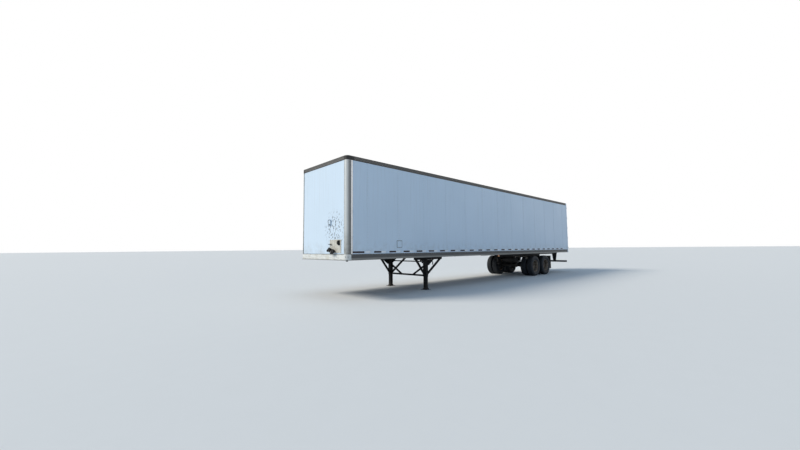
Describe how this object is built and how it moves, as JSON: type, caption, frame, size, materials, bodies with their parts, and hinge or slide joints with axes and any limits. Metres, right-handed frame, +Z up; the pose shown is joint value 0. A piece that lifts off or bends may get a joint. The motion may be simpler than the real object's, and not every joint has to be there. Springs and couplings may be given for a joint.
{
  "type": "semi trailer",
  "caption": "Long closed van semi trailer with smooth plate walls, rear swing doors, sliding tandem of twin-tyred axles, landing gear and a rear guard.",
  "frame": {"origin": "on the ground under the middle of the trailer's overall box", "axes": "+X forward to the nose, +Y to the left (road) side, +Z up"},
  "size_m": [16.322, 2.591, 4.115],
  "materials": {
    "wall_white": "gloss white polyester skin",
    "bare_aluminium": "weathered mill finish",
    "rail_grey": "anodised, dull",
    "underframe_steel": "matt black paint",
    "coupler_steel": "scuffed steel",
    "floor_oak": "worn laminated oak",
    "landing_black": "black paint",
    "galvanised": "galvanised, dull",
    "tyre": "dusty black",
    "wheel_disc": "aged pale paint with rust",
    "cast_hub": "rusty casting",
    "black_rubber": "matt",
    "lamp_red": "clear gloss",
    "fittings": "dusty beige",
    "lamp_amber": "clear gloss",
    "corner_black": "satin black",
    "hinge_black": "satin black",
    "lock_steel": "zinc plated"
  },
  "bodies": {
    "van_body": {"side_walls": "wall_white", "front_wall": "wall_white", "corner_posts": "bare_aluminium", "front_bottom_rail": "wall_white", "front_top_rail": "rail_grey", "top_rails": "rail_grey", "corner_caps": "corner_black", "roof_sheet": "bare_aluminium", "roof_bows": "galvanised", "bottom_rails": "rail_grey", "side_lamps": "lamp_amber", "crossmembers": "underframe_steel", "floor": "floor_oak", "coupler_plate": "coupler_steel", "kingpin": "coupler_steel", "rear_posts": "wall_white", "rear_header": "wall_white", "rear_sill": "galvanised", "dock_bumpers": "black_rubber", "rear_guard": "galvanised", "tail_lamps": "lamp_red", "marker_lamps": "lamp_red", "landing_legs": "landing_black", "landing_feet": "landing_black", "landing_arms": "landing_black", "landing_strut": "landing_black", "landing_crank": "landing_black", "slider_rails": "underframe_steel", "connection_plate": "fittings", "air_couplings": "black_rubber", "document_box": "wall_white"},
    "bogie": {"slider_frame": "underframe_steel", "spring_hangers": "underframe_steel", "leaf_springs": "underframe_steel", "radius_rods": "underframe_steel", "axles": "underframe_steel", "brake_chambers": "underframe_steel", "air_tank": "underframe_steel", "mud_flaps": "black_rubber"},
    "left_front_wheel": {"left_front_tyres": "tyre", "left_front_wheels": "wheel_disc", "left_front_hub": "cast_hub"},
    "right_front_wheel": {"right_front_tyres": "tyre", "right_front_wheels": "wheel_disc", "right_front_hub": "cast_hub"},
    "left_rear_wheel": {"left_rear_tyres": "tyre", "left_rear_wheels": "wheel_disc", "left_rear_hub": "cast_hub"},
    "right_rear_wheel": {"right_rear_tyres": "tyre", "right_rear_wheels": "wheel_disc", "right_rear_hub": "cast_hub"},
    "left_door_leaf": {"left_door": "wall_white", "left_door_hinges": "hinge_black", "left_door_lock": "lock_steel"},
    "right_door_leaf": {"right_door": "wall_white", "right_door_hinges": "hinge_black", "right_door_lock": "lock_steel"}
  },
  "joints": [
    {"name": "tandem_slide", "type": "slide", "parent": "van_body", "child": "bogie", "axis": [1, 0, 0], "range_m": [-1.2192, 1.2192]},
    {"name": "left_front_spin", "type": "hinge", "parent": "bogie", "child": "left_front_wheel", "pos_m": [-3.627, 0.984, 0.508], "axis": [0, 1, 0], "continuous": true},
    {"name": "right_front_spin", "type": "hinge", "parent": "bogie", "child": "right_front_wheel", "pos_m": [-3.627, -0.984, 0.508], "axis": [0, 1, 0], "continuous": true},
    {"name": "left_rear_spin", "type": "hinge", "parent": "bogie", "child": "left_rear_wheel", "pos_m": [-4.872, 0.984, 0.508], "axis": [0, 1, 0], "continuous": true},
    {"name": "right_rear_spin", "type": "hinge", "parent": "bogie", "child": "right_rear_wheel", "pos_m": [-4.872, -0.984, 0.508], "axis": [0, 1, 0], "continuous": true},
    {"name": "left_door_hinge", "type": "hinge", "parent": "van_body", "child": "left_door_leaf", "pos_m": [-8.119, 1.2815, 2.6], "axis": [0, 0, 1], "range_deg": [-265, 0]},
    {"name": "right_door_hinge", "type": "hinge", "parent": "van_body", "child": "right_door_leaf", "pos_m": [-8.119, -1.2815, 2.6], "axis": [0, 0, 1], "range_deg": [0, 265]}
  ]
}
